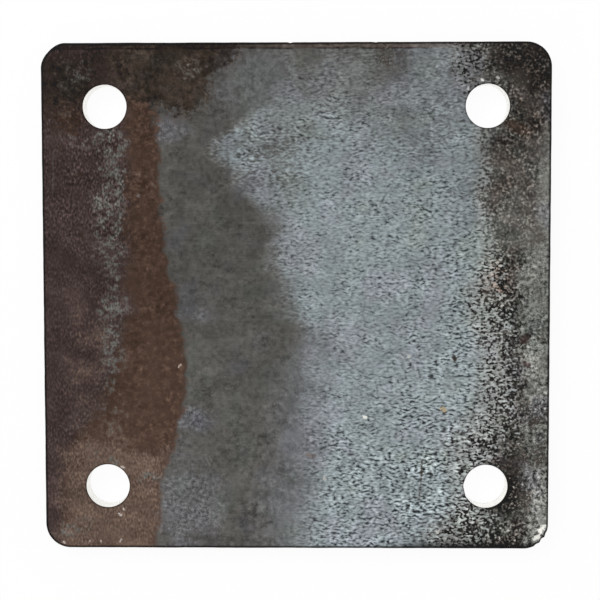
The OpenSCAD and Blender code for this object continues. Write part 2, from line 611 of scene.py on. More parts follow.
    flaked_grain: Dial = Dial(0.72, (
        Stretch(front=(55.0, 75.0), amount=0.10),
        Stretch(right=(88.0, 78.0), front=(55.0, 75.0), amount=0.28),
        Stretch(left=(80.0, 88.0), front=(60.0, 66.0), back=(88.0, 80.0), amount=0.35),
        Stretch(back=(25.0, 5.0), amount=0.43),
        Stretch(back=(-10.0, -45.0), amount=0.35),
    ))
    held: Stretch = Stretch(left=(55.0, 68.0), front=(8.0, 28.0), amount=0.5)
    by_hole: Stretch = Stretch(left=(50.0, 64.0), front=(72.0, 84.0))
    faded: Stretch = Stretch(left=(-36.0, -28.0), right=(34.0, 22.0), back=(46.0, 38.0), amount=0.45)
    calm_scale: Stretch = Stretch(left=(-24.0, -12.0), right=(60.0, 48.0), front=(58.0, 72.0), amount=0.45)
    soot_breaks: float = 2.4
    waves: Grain = Grain(21, 34.0, 27.0)
    pits: Grain = Grain(22, 3.4, 3.4)
    wrinkles: Grain = Grain(23, 4.4, 2.1)
    wave_mm: float = 0.06
    bare_mm: float = 0.05
    pit_mm: float = 0.14
    wrinkle_mm: float = 0.07
    lip_mm: float = 0.22
    lip_run: tuple[float, float] = (2.8, 0.4)

    def shares(self, x: np.ndarray, y: np.ndarray) -> Shares:
        """How much of each coat lies at each place, with borders that wander by noise.

        Args:
            x: places along X, in millimetres.
            y: places along Y, in millimetres.

        Returns:
            One share for each coat and for the stains, and the shade, grain and tearing of the coats.
        """
        wander = sum(grain.at(x, y) for grain in self.wander)
        across, up = x + wander, y + wander
        before_skin = 1.0 - self.rust_right.passed(across, y)
        dark_band = 1.0 - self.rust_left.passed(across, y)
        cap = (1.0 - self.cap_right.passed(across, y)) * ramp(*self.cap_front, up)
        left_rim = self.left_rim.share(across, y) * self.rim_cap.at(x, y)
        reddish = self.reddish.share(across, y)
        browned = (self.brown_back - self.brown_lag * reddish - up) / self.brown_blend
        browned = np.clip(browned, 0.0, 1.0 - self.brown_less * reddish)
        browned = np.maximum(browned, dark_band * self.dim_brown.share(x, y))
        frost = self.frost_left.passed(across, y) * (1.0 - self.frost_right.passed(across, y))
        pulled = self.lobes.at(x, y) * self.lobed.share(x, y)
        scale = self.scale_left.passed(across + pulled, y) * self.scale_hold.at(across, up)
        coats = {
            "haze": np.maximum(self.haze_left.passed(across, y), gather(self.smoke, across, up)),
            "lilac": gather(self.lavender, across, up),
            "cap": np.maximum(cap, left_rim),
            "rust": before_skin * self.rust_back.share(x, up),
            "umber": dark_band * (1.0 - self.cap_hides * cap) * (1.0 - gather(self.bared_rust, across, up)),
            "brown": browned * before_skin * ramp(*self.brown_left, x),
            "frost": np.maximum(frost * self.frost_run.share(x, y), gather(self.pale_grains, across, up)),
            "scale": scale * (1.0 - gather(self.worn_scale, across, up)),
            "flaked": self.scale_right.passed(across, y),
            "strip": self.strip_left.passed(across, y),
            "soot_and_shade": gather(self.soot_and_shade, across, up),
            "stain": gather(self.stained, across, up),
        }

        shade = self.shade(x, y, coats) + gather(self.pale_strip, across, up) * coats["flaked"]
        # Painted shade: the back left corner is darker.
        shade = shade * (1.0 - self.dark_front_strip.share(x, y)) * (1.0 - self.corner_shade.share(across, up))
        shade = shade * (1.0 + before_skin * self.lit_rust.share(across, y))
        calm = self.calm_scale.share(x, y) * np.clip(1.0 - self.soot_breaks * coats["soot_and_shade"], 0.0, 1.0)
        rough = lay(self.skin_grain.at(x, y), self.scale_grain.at(x, y) + calm, coats["scale"])
        rough = lay(rough, self.flaked_grain.at(x, y), coats["flaked"])
        tear = 1.0 - self.held.share(x, y) * (1.0 - self.by_hole.share(x, y))
        tear = tear - np.maximum(self.faded.share(x, y), calm)
        return coats | {"shade": shade, "rough": rough, "tear": tear}

    def shade(self, x: np.ndarray, y: np.ndarray, coats: Shares) -> np.ndarray:
        """Shade of the skin, the scale and the flaked band, each where it shows.

        Args:
            x: places along X, in millimetres.
            y: places along Y, in millimetres.
            coats: share of each coat there.

        Returns:
            Factor on the coats' lightness at each place.
        """
        wide = self.wide.at(x, y)
        skin = self.skin_shade.at(x, y) + self.skin_sway * wide
        scale = self.scale_shade.at(x, y) + self.scale_sway * wide
        return lay(lay(skin, scale, coats["scale"]), self.flaked_shade.at(x, y), coats["flaked"])

    def depth(self, x: np.ndarray, y: np.ndarray, shares: Shares, from_back: np.ndarray) -> np.ndarray:
        """Slow waves, pits where the scale is gone, wrinkles where it holds, and a lip along the back edge.

        Args:
            x: places along X, in millimetres.
            y: places along Y, in millimetres.
            shares: share of each coat there.
            from_back: distance from the back edge, in millimetres.

        Returns:
            How far the face lies under the true plate, in millimetres.
        """
        wave = 0.5 + 0.5 * self.waves.at(x, y)
        pit = smooth_step(*PIT_RANGE, self.pits.at(x, y))
        wrinkle = 0.5 + 0.5 * self.wrinkles.at(x, y)
        held = shares["scale"] * (1.0 - shares["flaked"])
        bare = (self.bare_mm + self.pit_mm * pit) * (1.0 - held)
        rolled = self.lip_mm * smooth_step(*self.lip_run, from_back)
        return self.wave_mm * wave + bare + self.wrinkle_mm * wrinkle * held + rolled


@dataclass(frozen=True)
class HiddenFace:
    """The face the plate lies on: dull scale, broken by drifts of rust.

    Attributes:
        drift: wide noise that rust and scale follow.
        patch: narrow noise that breaks their borders.
        patch_share: how much of the narrow noise is added to the wide one.
        shade: shade of the whole face.
        wave_mm: depth of the slow waves.
        pit_mm: depth of the pits.
    """

    drift: Grain = Grain(31, 55.0, 38.0)
    patch: Grain = Grain(32, 16.0, 12.0)
    patch_share: float = 0.45
    shade: float = 0.86
    wave_mm: float = 0.06
    pit_mm: float = 0.08

    def shares(self, x: np.ndarray, y: np.ndarray) -> Shares:
        """Rust and scale follow the sum of a wide and a narrow noise.

        Args:
            x: places along X, in millimetres.
            y: places along Y, in millimetres.

        Returns:
            One share for each coat and for the stains, and the shade, grain and tearing of the coats.
        """
        both = self.drift.at(x, y) + self.patch_share * self.patch.at(x, y)
        none, full = np.zeros_like(x), np.ones_like(x)
        shares = {coat.name: none for coat in COATS}
        shares["scale"] = np.clip(0.6 - 0.9 * both, 0.0, 0.9)
        shares["haze"] = np.clip(0.5 - 0.8 * both, 0.0, 1.0)
        shares["rust"] = np.clip(0.9 * both - 0.05, 0.0, 1.0)
        return shares | {"stain": none, "shade": self.shade * full, "rough": full, "tear": full}

    def depth(self, x: np.ndarray, y: np.ndarray) -> np.ndarray:
        """Slow waves and shallow pits; depth under the true plate, in millimetres."""
        wave = 0.5 + 0.5 * self.drift.at(x, y)
        return self.wave_mm * wave + self.pit_mm * smooth_step(*PIT_RANGE, self.patch.at(x, y))


@dataclass(frozen=True)
class Bite:
    """A place where a bit of the plate's edge is broken out, in millimetres.

    Attributes:
        x: middle of the bite along X.
        y: middle of the bite along Y.
        way_x: X part of the direction in which the edge is pushed back.
        way_y: Y part of that direction.
        reach: distance at which the bite ends.
        depth: how far the edge is pushed back in the middle.
        kept: share of that depth at the underside.
    """

    x: float
    y: float
    way_x: float
    way_y: float
    reach: float
    depth: float
    kept: float

    def push(self, points: np.ndarray, thick: float) -> np.ndarray:
        """Pushes points back by the depth times a smooth fall to the reach, less towards the underside.

        Args:
            points: places of the points.
            thick: thickness of the plate.

        Returns:
            The move of each point.
        """
        x, y, z = points.T
        felt = smooth_step(self.reach, 0.0, np.hypot(x - self.x, y - self.y))
        way = np.array([self.way_x, self.way_y, 0.0]) / math.hypot(self.way_x, self.way_y)
        return (self.depth * felt * lay(np.full_like(z, self.kept), 1.0, z / thick))[:, None] * way


@dataclass
class Net:
    """A stretch of surface before welding, in millimetres.

    Attributes:
        points: places of the grid's points, one row each.
        faces: four point numbers for each face, turning left seen from outside.
        chart: place of each point on the stretch's own map, from 0 to 1.
        zone: which stretch of surface it is.
    """

    points: np.ndarray
    faces: np.ndarray
    chart: np.ndarray
    zone: Zone

    def turned_over(self) -> "Net":
        """The same stretch with its faces turned the other way."""
        return Net(self.points, self.faces[:, ::-1], self.chart, self.zone)


def grid_faces(rows: int, columns: int) -> np.ndarray:
    """Faces of a grid numbered row by row, each right along its row, then on to the next row and back."""
    first = (np.arange(rows)[:, None] * (columns + 1) + np.arange(columns)).ravel()
    return np.stack([first, first + 1, first + columns + 2, first + columns + 1], axis=1)


@dataclass
class SteelPlate:
    """The plate, one rolled and cut piece, in millimetres.

    Attributes:
        half_x: half its width.
        half_y: half its depth.
        thick: its thickness.
        hole_x: distance of the hole centres from the middle along X.
        hole_y: distance of the hole centres from the middle along Y.
        hole_r: radius of the holes.
        corner_r: radius of the corners, seen from above.
        bevel: width of the worn bevel along the outline.
        hole_bevel: width of the bevel round a hole.
        side_cells: cells along one side of a corner block of the net.
        middle_cells: cells along the middle of a side, between two corner blocks.
        arc_cells: cells round a corner's arc.
        ring_cells: cells from a hole's rim to the rim of its corner block.
        wall_cells: cells down a wall, between the bevels.
        ring_growth: power by which the cells round a hole grow outwards.
        lane_share: share of its lane on the map that a hole's wall takes.
        relief_run: distances from the edge at which the relief of a face begins, and at which it is full.
        wall_in: how far the walls lie inside the true plate.
        wobbles: noises along the walls and down them that are added to that.
        name: name of the piece.
        top: the face that shows.
        hidden: the face it lies on.
        bites: places where the edge is broken out.
    """

    half_x: float
    half_y: float
    thick: float
    hole_x: float
    hole_y: float
    hole_r: float
    corner_r: float = 10.0
    bevel: float = 0.5
    hole_bevel: float = 0.3
    side_cells: int = 48
    middle_cells: int = 96
    arc_cells: int = 32
    ring_cells: int = 17
    wall_cells: int = 5
    ring_growth: float = 1.2
    lane_share: float = 0.97
    relief_run: tuple[float, float] = (-0.5, 1.0)
    wall_in: float = 0.10
    wobbles: tuple[Grain, ...] = (Grain(41, 13.0, 40.0, 0.06), Grain(42, 2.6, 7.0, 0.04))
    name: str = "scaled_plate"
    top: TopFace = field(default_factory=TopFace)
    hidden: HiddenFace = field(default_factory=HiddenFace)
    bites: tuple[Bite, ...] = (
        Bite(97.6, -96.4, -1.0, 1.0, 1.6, 0.55, 0.5), Bite(95.2, -98.2, -0.4, 1.0, 1.4, 0.35, 0.2),
        Bite(98.9, -93.8, -1.0, 0.4, 1.5, 0.3, 0.2), Bite(-97.1, 97.1, 1.0, -1.0, 7.0, 0.4, 0.8),
        Bite(66.3, -74.5, -1.0, 0.0, 2.2, 0.25, 0.1), Bite(67.2, -79.0, -1.0, -0.5, 1.8, 0.2, 0.1),
        Bite(-2.0, 100.0, 0.0, -1.0, 1.2, 0.3, 0.1), Bite(31.0, 100.0, 0.0, -1.0, 1.0, 0.25, 0.1),
    )

    @classmethod
    def from_frame(cls, frame: dict) -> "SteelPlate":
        """Takes the plate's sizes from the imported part.


        Returns:
            The plate at its real size.
        """
        low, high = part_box("plate")
        holes = next(m for m in frame["record"]["mounts"] if m["kind"] == "bolt_pattern")["dims"]
        return cls(
            half_x=(high.x - low.x) / 2 / MM,
            half_y=(high.y - low.y) / 2 / MM,
            thick=(high.z - low.z) / MM,
            hole_x=holes["spacing_x_mm"] / 2,
            hole_y=holes["spacing_y_mm"] / 2,
            hole_r=holes["hole_r_mm"],
        )

    @property
    def block_x(self) -> float:
        """Distance of the corner blocks from the middle along X: the hole is in the block's middle."""
        return 2 * self.hole_x - self.half_x

    @property
    def block_y(self) -> float:
        """Distance of the corner blocks from the middle along Y."""
        return 2 * self.hole_y - self.half_y

    def lines(self, block: float, edge: float) -> np.ndarray:
        """Places of the net's lines across a face: even steps in the corner blocks and between them."""
        side = np.linspace(block, edge, self.side_cells + 1)
        middle = np.linspace(-block, block, self.middle_cells + 1)
        return np.concatenate([-side[::-1], middle[1:-1], side])

    def corner_path(self, inset: float) -> np.ndarray:
        """The outline round the corner at +X +Y, an arc between two straight runs.

        Args:
            inset: distance from the outline, inwards.

        Returns:
            Points from the end of the right side's middle to the end of the back side's middle.
        """
        straight = (2 * self.side_cells - self.arc_cells) // 2
        centre = np.array([self.half_x - self.corner_r, self.half_y - self.corner_r])
        radius = self.corner_r - inset
        angle = np.linspace(0.0, np.pi / 2.0, self.arc_cells + 1)
        arc = centre + radius * np.stack([np.cos(angle), np.sin(angle)], axis=1)
        rise = np.linspace(self.block_y, centre[1], straight + 1)[:-1]
        run = np.linspace(centre[0], self.block_x, straight + 1)[1:]
        right = np.stack([np.full(straight, self.half_x - inset), rise], axis=1)
        back = np.stack([run, np.full(straight, self.half_y - inset)], axis=1)
        return np.concatenate([right, arc, back])

    def outline_path(self, inset: float) -> np.ndarray:
        """The whole outline, turning left: each side's middle, then the corner after it.

        Args:
            inset: distance from the outline, inwards.

        Returns:
            Points of the closed path, with the first one repeated at its end.
        """
        middle_y = np.linspace(-self.block_y, self.block_y, self.middle_cells + 1)[:-1]
        middle_x = np.linspace(self.block_x, -self.block_x, self.middle_cells + 1)[:-1]
        right = np.stack([np.full(self.middle_cells, self.half_x - inset), middle_y], axis=1)
        back = np.stack([middle_x, np.full(self.middle_cells, self.half_y - inset)], axis=1)
        corner = self.corner_path(inset)[:-1]
        mirrored = self.corner_path(inset)[:0:-1] * (-1.0, 1.0)
        half_turn = np.concatenate([right, corner, back, mirrored])
        return np.concatenate([half_turn, -half_turn, half_turn[:1]])

    def block_path(self) -> np.ndarray:
        """The rim of the corner block at +X +Y, turning left from its innermost corner and closed there."""
        along = np.linspace(self.block_x, self.half_x - self.bevel, self.side_cells + 1)[:-1]
        down = np.linspace(self.half_y - self.bevel, self.block_y, self.side_cells + 1)[1:]
        front = np.stack([along, np.full(self.side_cells, self.block_y)], axis=1)
        left = np.stack([np.full(self.side_cells, self.block_x), down], axis=1)
        return np.concatenate([front, self.corner_path(self.bevel), left])

    def hole_ring(self) -> tuple[np.ndarray, np.ndarray]:
        """Unit directions from the hole's centre to each point of its block's rim, and those points."""
        rim = self.block_path()
        away = rim - (self.hole_x, self.hole_y)
        return away / np.linalg.norm(away, axis=1, keepdims=True), rim

    def bevelled_profile(self, bevel: float) -> np.ndarray:
        """The section of a wall, from the top face down: a rounded bevel, the wall, a rounded bevel.

        Args:
            bevel: width of the bevels.

        Returns:
            (distance from the wall's plane, height) of each point.
        """
        turn = np.linspace(0.0, np.pi / 2.0, 3)
        round_over = bevel * np.stack([1.0 - np.sin(turn), np.cos(turn)], axis=1)
        upper = round_over + (0.0, self.thick - bevel)
        lower = round_over[::-1] * (1.0, -1.0) + (0.0, bevel)
        wall = np.linspace(self.thick - bevel, bevel, self.wall_cells + 1)[1:-1]
        return np.concatenate([upper, np.stack([np.zeros_like(wall), wall], axis=1), lower])

    def face_chart(self, flat: np.ndarray) -> np.ndarray:
        """Place of each point of a face on that face's map, from corner to corner of the plate."""
        return flat / (2 * self.half_x, 2 * self.half_y) + 0.5

    def flat_net(self) -> Net:
        """The top face between the corner blocks: a grid of lines with the four blocks left out."""
        xs = self.lines(self.block_x, self.half_x - self.bevel)
        ys = self.lines(self.block_y, self.half_y - self.bevel)
        grid_x, grid_y = np.meshgrid(xs, ys)
        flat = np.stack([grid_x.ravel(), grid_y.ravel()], axis=1)
        faces = grid_faces(len(ys) - 1, len(xs) - 1)
        middle = flat[faces].mean(axis=1)
        kept = (np.abs(middle[:, 0]) < self.block_x) | (np.abs(middle[:, 1]) < self.block_y)
        points = np.column_stack([flat, np.full(len(flat), self.thick)])
        return Net(points, faces[kept], self.face_chart(flat), Zone.TOP)

    def ring_net(self, side_x: int, side_y: int) -> Net:
        """The top face round one hole: straight lines from the hole's rim to the block's rim.

        Args:
            side_x: 1 or -1, which side of the middle along X.
            side_y: 1 or -1, which side of the middle along Y.

        Returns:
            The ring of surface, finer towards the hole.
        """
        away, rim = self.hole_ring()
        inner = away * (self.hole_r + self.hole_bevel) + (self.hole_x, self.hole_y)
        out = np.linspace(0.0, 1.0, self.ring_cells + 1)[:, None, None] ** self.ring_growth
        flat = lay(inner, rim, out).reshape(-1, 2) * (side_x, side_y)
        points = np.column_stack([flat, np.full(len(flat), self.thick)])
        net = Net(points, grid_faces(self.ring_cells, len(rim) - 1), self.face_chart(flat), Zone.TOP)
        return net if side_x * side_y < 0 else net.turned_over()

    def outline_net(self) -> Net:
        """The outer wall with its bevels: the bevelled profile carried round the outline."""
        profile = self.bevelled_profile(self.bevel)
        loops = [np.column_stack([path, np.full(len(path), z)])
                 for path, z in ((self.outline_path(inset), z) for inset, z in profile)]
        return self.wall_net(loops, Zone.OUTLINE).turned_over()

    def bore_net(self, side_x: int, side_y: int) -> Net:
        """The wall of one hole with its bevels: the bevelled profile carried round the hole."""
        away, _ = self.hole_ring()
        centre = (self.hole_x, self.hole_y)
        profile = self.bevelled_profile(self.hole_bevel)
        loops = [np.column_stack([(away * (self.hole_r + inset) + centre) * (side_x, side_y),
                                  np.full(len(away), z)]) for inset, z in profile]
        net = self.wall_net(loops, Zone.BORE)
        lane = (side_x + 1) + (side_y + 1) / 2
        net.chart = (net.chart * (self.lane_share, 1.0) + (lane, 0.0)) / (4.0, 1.0)
        return net if side_x * side_y > 0 else net.turned_over()

    def wall_net(self, loops: list[np.ndarray], zone: Zone) -> Net:
        """Joins closed loops of points into a wall.

        Args:
            loops: the loops from top to bottom, with as many points each.
            zone: which stretch of surface it is.

        Returns:
            The wall, with each loop's length along its map and the loops side by side.
        """
        rows, columns = len(loops) - 1, len(loops[0]) - 1
        along, down = np.meshgrid(np.linspace(0, 1, columns + 1), np.linspace(0, 1, rows + 1))
        chart = np.stack([along.ravel(), down.ravel()], axis=1)
        return Net(np.concatenate(loops), grid_faces(rows, columns), chart, zone)

    def nets(self) -> list[Net]:
        """Every stretch of the plate's surface; the underside is the top face set at floor level."""
        corners = [(x, y) for x in (-1, 1) for y in (-1, 1)]
        tops = [self.flat_net()] + [self.ring_net(*corner) for corner in corners]
        unders = [Net(net.points * (1, 1, 0), net.faces[:, ::-1], net.chart, Zone.UNDERSIDE) for net in tops]
        return tops + unders + [self.outline_net()] + [self.bore_net(*corner) for corner in corners]

    def edge_distance(self, x: np.ndarray, y: np.ndarray) -> np.ndarray:
        """Distance in from the rounded outline.

        Args:
            x: places along X.
            y: places along Y.

        Returns:
            The distance at each place, 0 on the outer wall.
        """
        past_x = np.abs(x) - (self.half_x - self.corner_r)
        past_y = np.abs(y) - (self.half_y - self.corner_r)
        beyond = np.hypot(np.maximum(past_x, 0), np.maximum(past_y, 0))
        beyond = beyond + np.minimum(np.maximum(past_x, past_y), 0)
        return np.maximum(self.corner_r - beyond, 0.0)

    def rim_distance(self, x: np.ndarray, y: np.ndarray) -> np.ndarray:
        """Distance from the wall of the nearest hole."""
        return np.maximum(np.hypot(np.abs(x) - self.hole_x, np.abs(y) - self.hole_y) - self.hole_r, 0.0)

    def shell(self) -> "Shell":
        """Welds every stretch into one closed net and leaves out the points that no face uses."""
        nets = self.nets()
        starts = np.cumsum([0] + [len(net.points) for net in nets[:-1]])
        points = np.concatenate([net.points for net in nets])
        faces = np.concatenate([net.faces + start for net, start in zip(nets, starts)])
        charts = np.concatenate([net.zone.on_map(net.chart) for net in nets])
        places = np.round(points / WELD_STEP).astype(np.int64)
        _, first, number = np.unique(places, axis=0, return_index=True, return_inverse=True)
        welded = number.ravel()[faces]
        used, renumbered = np.unique(welded, return_inverse=True)
        return Shell(points[first[used]], renumbered.reshape(welded.shape), charts[faces])

    def relief(self, points: np.ndarray, normals: np.ndarray, shares: Shares) -> np.ndarray:
        """Sinks each point of the shell below the true plate, never above it.

        The faces sink straight down by the relief of the coats on them. The walls go in along their own
        normal by a slow wobble and a fine one. The bites push the edge back where it is broken.

        Args:
            points: the true plate's points.
            normals: outward unit normals at those points.
            shares: share of each coat of the top face at each point.

        Returns:
            The moved points.
        """
        x, y, z = points.T
        up = smooth_step(*FACE_RANGE, normals[:, 2])
        down = smooth_step(*FACE_RANGE, -normals[:, 2])
        edge = self.edge_distance(x, y)
        sunk = up * self.top.depth(x, y, shares, self.half_y - y) - down * self.hidden.depth(x, y)
        sunk *= smooth_step(*self.relief_run, edge)
        turn = np.arctan2(y, x) * self.half_x
        wobble = self.wall_in + sum(grain.at(turn, z) for grain in self.wobbles)
        inward = normals * (1, 1, 0) * ((1.0 - up - down) * np.maximum(wobble, 0.0))[:, None]
        pushed = sum(bite.push(points, self.thick) for bite in self.bites)
        moved = points - inward + pushed - np.stack([np.zeros_like(x), np.zeros_like(x), sunk], axis=1)
        moved[:, 2] = np.clip(moved[:, 2], 0.0, self.thick)
        return moved

    def build(self, finish: "ScaledSteel") -> bpy.types.Object:
        """Makes the plate's mesh, carries the coats' shares on it as attributes and dresses it.

        Args:
            finish: finish of the steel.

        Returns:
            The finished piece.
        """
        shell = self.shell()
        normals = shell.normals()
        x, y, _ = shell.points.T
        top, under = self.top.shares(x, y), self.hidden.shares(x, y)
        steep = np.abs(normals[:, 2])
        turned = smooth_step(*UNDER_RANGE, normals[:, 2])
        marks = {name: lay(share, under[name], turned) for name, share in top.items()}
        points = self.relief(shell.points, normals, top)
        marks["cut"] = smooth_step(*WALL_RANGE, steep)
        marks["edge"] = self.edge_distance(x, y)
        marks["rim"] = self.rim_distance(x, y)
        marks["bore"] = (marks["rim"] < self.hole_bevel / 2) * smooth_step(*BORE_RANGE, steep)
        plate = shell.as_object(self.name, points, marks)
        plate.data.materials.append(finish.material(self.thick))
        return plate


@dataclass
class Shell:
    """A closed net of four-sided faces, in millimetres.

    Attributes:
        points: places of its points.
        faces: four point numbers for each face.
        charts: place of each corner of each face on the map.
    """

    points: np.ndarray
    faces: np.ndarray
    charts: np.ndarray

    def normals(self) -> np.ndarray:
        """Unit normals at the points: the crossed diagonals of the faces that meet there, added up."""
        a, b, c, d = (self.points[self.faces[:, corner]] for corner in range(4))
        crossed = np.cross(c - a, d - b)
        total = np.zeros_like(self.points)
        for corner in range(4):
            np.add.at(total, self.faces[:, corner], crossed)
        return total / np.linalg.norm(total, axis=1, keepdims=True)

    def as_object(self, name: str, points: np.ndarray, marks: dict[str, np.ndarray]) -> bpy.types.Object:
        """Puts the net into a mesh of smooth faces with its map and its attributes.

        Args:
            name: name of the object and its mesh.
            points: places of the points after relief.
            marks: one number per point under each attribute's name.

        Returns:
            The new object, linked to the scene.
        """
        mesh = bpy.data.meshes.new(name)
        mesh.from_pydata(points * MM, [], self.faces)
        mesh.polygons.foreach_set("use_smooth", np.ones(len(self.faces), bool))
        layer = mesh.uv_layers.new(name="OFBake")
        layer.uv.foreach_set("vector", self.charts.astype(np.float32).ravel())
        for mark, values in marks.items():
            attribute = mesh.attributes.new(mark, "FLOAT", "POINT")
            attribute.data.foreach_set("value", values.astype(np.float32))
        mesh.update()
        thing = bpy.data.objects.new(name, mesh)
        bpy.context.scene.collection.objects.link(thing)
        return thing


class NodeBench:
    """Sets out and joins the nodes of one material or world."""

    def __init__(self, tree: bpy.types.NodeTree) -> None:
        """Starts from an empty tree.

        Args:
            tree: node tree to fill.
        """
        self.tree = tree
        self.tree.nodes.clear()

    def node(self, kind: str, **settings: object) -> bpy.types.Node:
        """A new node with its settings made."""
        made = self.tree.nodes.new(kind)
        for name, value in settings.items():
            setattr(made, name, value)
        return made

    def plug(self, socket: Socket, value: object) -> None:
        """Joins an output to a socket, or sets a plain value on it."""
        if isinstance(value, Socket):
            self.tree.links.new(value, socket)
        else:
            socket.default_value = value

    def math(self, operation: str, *values: object) -> Socket:
        """One step of arithmetic."""
        made = self.node("ShaderNodeMath", operation=operation)
        for socket, value in zip(made.inputs, values):
            self.plug(socket, value)
        return made.outputs[0]

    def sum_of(self, start: object, *terms: tuple[object, float]) -> Socket:
        """A start value plus each term times its factor."""
        total = start
        for term, factor in terms:
            total = self.math("MULTIPLY_ADD", term, factor, total)
        return total

    def product(self, *values: object) -> Socket:
        """All the values multiplied, one after the other."""
        total = values[0]
        for value in values[1:]:
            total = self.math("MULTIPLY", total, value)
        return total

    def rest(self, share: Socket) -> Socket:
        """What a share leaves of the whole."""
        return self.math("SUBTRACT", 1.0, share)

    def axes(self, place: Socket) -> tuple[Socket, ...]:
        """The X, Y and Z of places."""
        made = self.node("ShaderNodeSeparateXYZ")
        self.plug(made.inputs[0], place)
        return tuple(made.outputs)

    def vector(self, operation: str, *values: object) -> Socket:
        """One step of vector arithmetic."""
        made = self.node("ShaderNodeVectorMath", operation=operation)
        sockets = (made.inputs[0], made.inputs["Scale"]) if operation == "SCALE" else made.inputs
        for socket, value in zip(sockets, values):
            self.plug(socket, value)
        return made.outputs[0]

    def step(self, low: float, high: float, value: Socket) -> Socket:
        """A smooth rise from 0 at low to 1 at high, or a fall where high is under low."""
        made = self.node("ShaderNodeMapRange", interpolation_type="SMOOTHSTEP")
        for socket, number in zip(made.inputs, (value, low, high, 0.0, 1.0)):
            self.plug(socket, number)
        return made.outputs[0]

    def attribute(self, name: str) -> Socket:
        """The number that the mesh carries under a name."""
        return self.node("ShaderNodeAttribute", attribute_name=name).outputs["Fac"]

    def noise(self, place: Socket, scale: float, detail: float, rough: float = 0.5) -> bpy.types.Node:
        """Solid noise with its sizes set."""
        made = self.node("ShaderNodeTexNoise")
        for name, value in (("Vector", place), ("Scale", scale), ("Detail", detail), ("Roughness", rough)):
            self.plug(made.inputs[name], value)
        return made

    def mix(self, share: object, under: object, over: object, blend: str = "MIX") -> Socket:
        """One colour over another by a share."""
        made = self.node("ShaderNodeMix", data_type="RGBA", blend_type=blend)
        for index, value in ((0, share), (6, under), (7, over)):
            self.plug(made.inputs[index], value)
        return made.outputs[2]


@dataclass
class Paint:
    """A colour in the making, as a lightness and a tint.

    Attributes:
        bench: bench that its nodes stand on.
        level: its lightness as the eye sees it.
        hue: its tint in linear light.
    """

    bench: NodeBench
    level: object
    hue: object

    def cover(self, share: object, level: object, hue: Hue) -> None:
        """Lays another lightness and tint over this one by a share."""
        self.level = self.bench.sum_of(self.level, (self.bench.math("SUBTRACT", level, self.level), share))
        self.hue = self.bench.mix(share, self.hue, hue.linear)

    def tint(self, share: object, hue: Hue) -> None:
        """Moves the tint by a share and leaves the lightness."""
        self.hue = self.bench.mix(share, self.hue, hue.linear)

    def darken(self, share: object) -> None:
        """Takes a share of the lightness away."""
        self.level = self.bench.product(self.level, self.bench.rest(share))

    def colour(self, less: float) -> Socket:
        """The colour in linear light, less what the mirror reflection will add."""
        bench = self.bench
        made = bench.vector("SCALE", self.hue, bench.math("POWER", self.level, GAMMA))
        return bench.vector("MAXIMUM", bench.vector("SUBTRACT", made, (less,) * 3), (LEAST_LIGHT,) * 3)


@dataclass
class Grains:
    """Solid noises over the plate, each a number round 0 that strays by about 1.

    Attributes:
        fine: fine grain of each kind.
        squares: square of each fine grain less 1, which skews it.
        cloud: wide patches.
        tint: wider patches, for the tints.
        cluster: patches of stronger and weaker grain.
        streak: long thin lines along X.
        drag: lines that a cutting flame leaves down a wall.
    """

    fine: dict[Grit, Socket]
    squares: dict[Grit, Socket]
    cloud: Socket
    tint: Socket
    cluster: Socket
    streak: Socket
    drag: Socket


